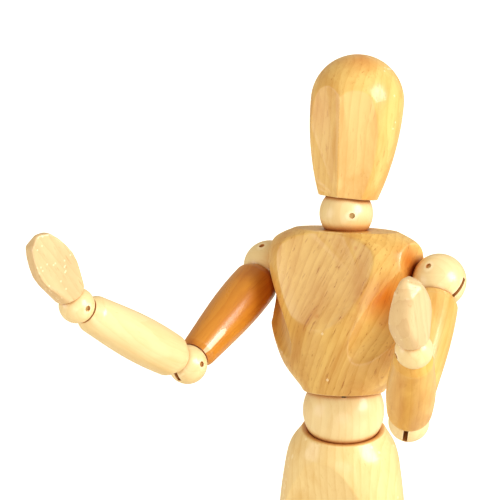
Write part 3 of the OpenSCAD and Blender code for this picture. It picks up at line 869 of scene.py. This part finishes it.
# %% Chest
CHEST_OVALS = [
    # height above the waist ball, half width, half depth, in millimetres
    (5.25, 10.9, 10.9),
    (6.25, 11.3, 11.3),
    (12.25, 17.5, 12.6),
    (21.25, 21.2, 13.8),
    (28.7, 22.0, 14.2),
    (39.7, 22.4, 13.8),
    (44.5, 21.0, 11.8),
    (47.5, 15.0, 8.8),
]
STEPS_BETWEEN_OVALS = 6
CHEST_SLOPE = math.radians(12)
CHEST_FRONT_TOP = 8.6 * MM
CARVED_GRIT = 0.27 * MM
ARMPIT_RADIUS = 8.5 * MM
ARMPIT_LENGTH = 60 * MM
ARMPIT_FROM_BALL = Vector((0, -11.6, -3.2)) * MM
ARMPIT_TILT = (math.radians(-25.5), math.radians(35))
# The chest was cut from its plank a little askew, so its grain leans
GRAIN_LEAN = math.radians(24)
CHEST_STAINS_AND_SHADE = [
    # Painted shade in the two hollows in front of the shoulders, then the left shoulder, and two
    # small knots in front
    ((17.2, -7.2, 31), 9, 1.0),
    ((-17.5, -7.5, 29), 9, 0.8),
    ((20, -2, 41), 6, 0.8),
    ((0, -13.2, 26), 1.1, 0.45),
    ((9, -9.5, 44), 0.8, 0.6),
]
_, chest_high = extent("chest", places["chest"])
to_own = places["chest"].inverted()

ovals = [tuple(value * MM for value in row) for row in CHEST_OVALS]
chest = draw_out("carved_chest", smooth_line(ovals, STEPS_BETWEEN_OVALS), sides=128)
for turn in (-1, 1):
    saw(chest, (turn * chest_high.x, 0, 0), (turn, 0, 0))
saw(chest, (0, -CHEST_FRONT_TOP, chest_high.z), (0, -math.cos(CHEST_SLOPE), math.sin(CHEST_SLOPE)))
cut_away(chest, ball_cutter(cup_radius("waist_ball")))
cut_away(chest, ball_cutter(cup_radius("neck_ball"), to_own @ centre("neck_turn")))
for turn, side in ((1, "left"), (-1, "right")):
    shoulder = to_own @ centre(f"shoulder_turn_{side}")
    cut_away(chest, ball_cutter(cup_radius(f"shoulder_ball_{side}"), shoulder))
    cut_away(chest, drill(ARMPIT_RADIUS, ARMPIT_LENGTH, shoulder + ARMPIT_FROM_BALL,
                          (ARMPIT_TILT[0], turn * ARMPIT_TILT[1], 0)))
sand(chest, CARVED_GRIT)
chest_grain = places["chest"] @ Matrix.Rotation(GRAIN_LEAN, 4, "Y")
chest_wood = varnished_wood(
    "chest_wood", "chest", chest_grain, stains_and_shade_on(places["chest"], CHEST_STAINS_AND_SHADE))
finish_piece(chest, places["chest"], "chest", "honey_wood", chest_wood, "chest")

# %% [markdown]
# ## The pelvis
#
# The pelvis is the same kind of block: round where it meets the waist ball, and oval lower down.
# One tilted flat is planed on its front, which leaves an arched outline, two cups are cut for the
# hips, and a hole is drilled up from below for the stand's rod, behind the middle.

# %% Pelvis
pelvis_low, pelvis_high = extent("pelvis", places["pelvis"])
PELVIS_OVALS = [
    # height above the waist ball, half width, half depth, in millimetres
    (-5.25, 11.1, 11.1),
    (-6.25, 11.6, 11.6),
    (-10.25, 14.2, 13.0),
    (-16.25, 15.7, 13.2),
    (-28.4, 17.3, 13.2),
    (-35.2, 16.9, 11.8),
    (-39.25, 15.3, 9.2),
]
PELVIS_FLAT_TILT = math.radians(13.5)
PELVIS_FLAT_TOP = -5.0 * MM
PELVIS_FLAT_IN = 0.3 * MM
PELVIS_ROD_HOLE = 2.1 * MM
ROD_IN_PELVIS = 18 * MM

ovals = [tuple(value * MM for value in row) for row in reversed(PELVIS_OVALS)]
pelvis = draw_out("carved_pelvis", smooth_line(ovals, STEPS_BETWEEN_OVALS), sides=128)
flat = Vector((0, PELVIS_FLAT_IN - pelvis_high.y, pelvis_high.z + PELVIS_FLAT_TOP))
saw(pelvis, flat, (0, -math.cos(PELVIS_FLAT_TILT), -math.sin(PELVIS_FLAT_TILT)))
cut_away(pelvis, ball_cutter(cup_radius("waist_ball")))
to_own = places["pelvis"].inverted()
for side in SIDES:
    hip = to_own @ ball_centre("hip", side)
    cut_away(pelvis, ball_cutter(cup_radius(f"hip_ball_{side}"), hip))
rod_low, rod_high = extent("support_rod", places["pelvis"])
rod_middle = (rod_low + rod_high) / 2
rod_entry = (rod_middle.x, rod_middle.y, pelvis_low.z)
cut_away(pelvis, drill(PELVIS_ROD_HOLE, 2 * ROD_IN_PELVIS, rod_entry))
sand(pelvis, CARVED_GRIT)
finish_piece(pelvis, places["pelvis"], "pelvis", "pale_wood",
             varnished_wood("pelvis_wood", "pale", places["pelvis"]), "pelvis")

# %% [markdown]
# ## Hands
#
# A hand is a mitten: a leaf with a rounded edge all round, and one side planed flat for the
# palm. It could be lofted too, but a leaf's edge turns in two directions at once. So balls are set
# along the edge as marks, and Convex Hull stretches one skin round them all, as a carver thinks of
# the shape that is left when everything outside the marks is gone.


# %% Marks, and the skin round them
# A thin disc marks the rim of a hand or a foot, and a second one its neck, a little past the rim
RIM_EDGE = 0.2 * MM
NECK_HEIGHT = 0.9 * MM
NECK_EDGE = 0.1 * MM


def skin_round(parts, name):
    """Joins some marks and replaces them with the convex skin round them."""
    deselect_all()
    for part in parts:
        part.select_set(True)
    bpy.context.view_layer.objects.active = parts[0]
    bpy.ops.object.join()
    piece = bpy.context.object
    piece.name = name
    bpy.ops.object.transform_apply(location=True, rotation=True, scale=True)
    bpy.ops.object.mode_set(mode="EDIT")
    bpy.ops.mesh.select_all(action="SELECT")
    bpy.ops.mesh.convex_hull()
    bpy.ops.object.mode_set(mode="OBJECT")
    return piece


def marker_ball(radius, at, flatten=1.0):
    """A ball that marks a place on a carved edge."""
    deselect_all()
    bpy.ops.mesh.primitive_uv_sphere_add(
        segments=64, ring_count=32, radius=radius, location=at, scale=(1, flatten, 1))
    return bpy.context.object


def marker_disc(radius, low, high, y=0.0):
    """A disc that marks a flat end."""
    deselect_all()
    bpy.ops.mesh.primitive_cylinder_add(
        vertices=96, radius=radius, depth=abs(high - low), location=(0, y, (low + high) / 2))
    return bpy.context.object


# %% Carve the hands
HAND_OUTLINE = [
    # share of the hand's length, and how far in from its greatest width, in millimetres
    (0.20, 1.5), (0.28, 0.7), (0.38, 0.2), (0.50, 0.0), (0.62, 0.4), (0.74, 1.1), (0.84, 2.0),
]
HAND_EDGE = 2 * MM
HAND_TIP = 1.7 * MM
HAND_FLARE = 0.4 * MM
# A flattened ball under the tip keeps the fingertips full
FINGERTIPS = 1.2 * HAND_TIP
FINGERTIPS_SHARE = 0.88
FINGERTIPS_DEPTH = 1.1
PALM_START = 3.4 * MM
PALM_TILT = math.radians(8)
PALM_CUT = 0.7 * MM
HAND_GRIT = 0.16 * MM

for side in SIDES:
    node = f"hand_{side}"
    low, high = extent(node, places[node])
    half_width = high.x
    half_thick = -low.y
    length = high.z - low.z
    parts = [marker_disc(rim_radius(f"wrist_ball_{side}"), low.z, low.z + RIM_EDGE),
             marker_disc(half_thick + HAND_FLARE, low.z + NECK_HEIGHT,
                         low.z + NECK_HEIGHT + NECK_EDGE),
             marker_ball(HAND_TIP, (0, 0, high.z - HAND_TIP))]
    for share, inset in HAND_OUTLINE:
        for turn in (-1, 1):
            x = turn * (half_width - HAND_EDGE - inset * MM)
            parts.append(marker_ball(HAND_EDGE, (x, 0, low.z + share * length),
                                     half_thick / HAND_EDGE))
    parts.append(marker_ball(FINGERTIPS, (0, 0, low.z + FINGERTIPS_SHARE * length),
                             FINGERTIPS_DEPTH))
    hand = skin_round(parts, f"carved_{node}")
    saw(hand, (0, half_thick - PALM_CUT, low.z + PALM_START),
        (0, math.cos(PALM_TILT), math.sin(PALM_TILT)))
    cut_away(hand, ball_cutter(cup_radius(f"wrist_ball_{side}")))
    sand(hand, HAND_GRIT, passes=14)
    finish_piece(hand, places[node], node, "pale_wood",
                 varnished_wood(f"{node}_wood", "pink", places[node]), node)

# %% [markdown]
# ## Feet
#
# A foot is a wedge with a flat sole, broad at the toes and narrow at the heel. The same skin does
# it: two thick discs mark the heel and the toes, and two thin ones mark the rim under the ankle.

# %% Feet
FOOT_HEEL_SHARE = 0.42
HEEL_HEIGHT = 3 * MM
TOE_HEIGHT = 3.2 * MM
ANKLE_FLARE = 0.6 * MM
FOOT_GRIT = 0.2 * MM

for side in SIDES:
    node = f"foot_{side}"
    low, high = extent(node, places[node])
    width = high.x - low.x
    heel_radius = FOOT_HEEL_SHARE * width
    rim = rim_radius(f"ankle_ball_{side}")
    toes = marker_disc(width / 2, high.z - TOE_HEIGHT, high.z, high.y - width / 2)
    heel = marker_disc(heel_radius, high.z - HEEL_HEIGHT, high.z, low.y + heel_radius)
    top = marker_disc(rim, low.z, low.z + RIM_EDGE)
    ankle_ring = marker_disc(
        rim + ANKLE_FLARE, low.z + NECK_HEIGHT, low.z + NECK_HEIGHT + NECK_EDGE)
    foot = skin_round([toes, heel, top, ankle_ring], f"carved_{node}")
    cut_away(foot, ball_cutter(cup_radius(f"ankle_ball_{side}")))
    sand(foot, FOOT_GRIT, passes=6)
    finish_piece(foot, places[node], node, "honey_wood",
                 varnished_wood(f"{node}_wood", "honey", places[node]), node)

# %% [markdown]
# ## Balls
#
# The balls come from the frame as they are: a true sphere with a saw slot and drilled holes has
# nothing to add but its wood. Each gets its own grain, square to its pin.

# %% Balls
BALLS = ["waist_ball", "neck_ball"] + [
    f"{name}_ball_{side}" for name in ("shoulder", "elbow", "wrist", "hip", "knee", "ankle")
    for side in SIDES
]
for node in BALLS:
    name, _, side = node.partition("_ball")
    bend = {"waist": "waist_bow", "neck": "neck_nod"}.get(name, f"{name}_bend{side}")
    turn = {"ankle": f"foot_turn{side}"}.get(name, f"{name}_turn{side}")
    place = stand(centre(bend), axis(turn), axis(bend))
    dress(node, varnished_wood(f"{node}_wood", "cream", place))
print("varnished", len(BALLS), "balls")

# %% [markdown]
# ## The base
#
# The base is a disc turned from a board, so its grain runs across it and not up. Its top edge is
# rounded, its bottom edge has a small bevel that keeps it from splintering, and the rod stands in
# a hole behind the middle. It is drawn out in rings, as the limbs are.

# %% The round base
base_low, base_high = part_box("base_disc")
BASE_EDGE = 1.6 * MM
BASE_EDGE_STEPS = 8
BASE_BEVEL = 0.6 * MM
BASE_ROD_HOLE = 2.0 * MM
ROD_IN_BASE = 13 * MM
BASE_CREASE_ANGLE = math.radians(30)

base_radius = base_high.x
base_rings = [(base_low.z, base_radius - BASE_BEVEL, base_radius - BASE_BEVEL),
              (base_low.z + BASE_BEVEL, base_radius, base_radius)]
for step in range(BASE_EDGE_STEPS + 1):
    angle = 0.5 * math.pi * step / BASE_EDGE_STEPS
    radius = base_radius - BASE_EDGE * (1 - math.cos(angle))
    base_rings.append((base_high.z - BASE_EDGE * (1 - math.sin(angle)), radius, radius))
base = draw_out("turned_base", base_rings, sides=192)
rod_low, rod_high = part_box("support_rod")
rod_foot = Vector(((rod_low.x + rod_high.x) / 2, (rod_low.y + rod_high.y) / 2, base_high.z))
cut_away(base, drill(BASE_ROD_HOLE, 2 * ROD_IN_BASE, rod_foot))
select_only(base)
bpy.ops.object.shade_smooth_by_angle(angle=BASE_CREASE_ANGLE)
base_place = Matrix.Rotation(math.pi / 2, 4, "X")
base_wood = varnished_wood("base_wood", "pale", base_place)
finish_piece(base, Matrix.Identity(4), "base", "base_wood", base_wood, "base_disc")

# %% [markdown]
# ## Metal
#
# Three metals show in small glimpses: a bright drawn rod with fine lines along it, brass-washed
# pins and hooks, and dull spring wire. Each has its own roughness that varies over the surface,
# because metal this small is never evenly polished.


# %% Metal finishes
def drawn_metal(name, colour, roughness, line_scale):
    """Metal with fine drawn lines and a slight stain."""
    material = bpy.data.materials.new(name)
    material.use_nodes = True
    tree = material.node_tree
    shader = tree.nodes["Principled BSDF"]
    here = node_of(tree, "ShaderNodeTexCoord").outputs["Object"]
    lines = node_of(tree, "ShaderNodeTexNoise", {
        "Vector": node_of(tree, "ShaderNodeMapping", {
            "Vector": here, "Scale": line_scale}).outputs["Vector"],
        "Scale": 1.0, "Detail": 3.0,
    }).outputs["Fac"]
    stained = tuple(0.72 * value for value in colour)
    tree.links.new(mix_colours(tree, spread(tree, lines, 0.35, 0.75), (*colour, 1), (*stained, 1)),
                   shader.inputs["Base Color"])
    tree.links.new(spread(tree, lines, 0.3, 0.7, roughness, roughness + 0.14),
                   shader.inputs["Roughness"])
    shader.inputs["Metallic"].default_value = 1.0
    bump = node_of(tree, "ShaderNodeBump", {
        "Height": lines, "Strength": 0.2, "Distance": 0.02 * MM})
    tree.links.new(bump.outputs["Normal"], shader.inputs["Normal"])
    return material


ROD_LINES = (3000, 3000, 60)
WIRE_LINES = (1200, 1200, 1200)
rod_metal = drawn_metal("rod_metal", (0.72, 0.71, 0.69), 0.2, ROD_LINES)
pin_metal = drawn_metal("pin_metal", (0.80, 0.55, 0.24), 0.24, WIRE_LINES)
wire_metal = drawn_metal("spring_metal", (0.50, 0.48, 0.45), 0.32, WIRE_LINES)
for node in frame["nodes"]:
    if node == "support_rod":
        dress(node, rod_metal)
    elif "pin_hook" in node or "screw_eye" in node:
        dress(node, pin_metal)
    elif "spring" in node:
        dress(node, wire_metal)
print("the metals are", rod_metal.name, pin_metal.name, wire_metal.name)
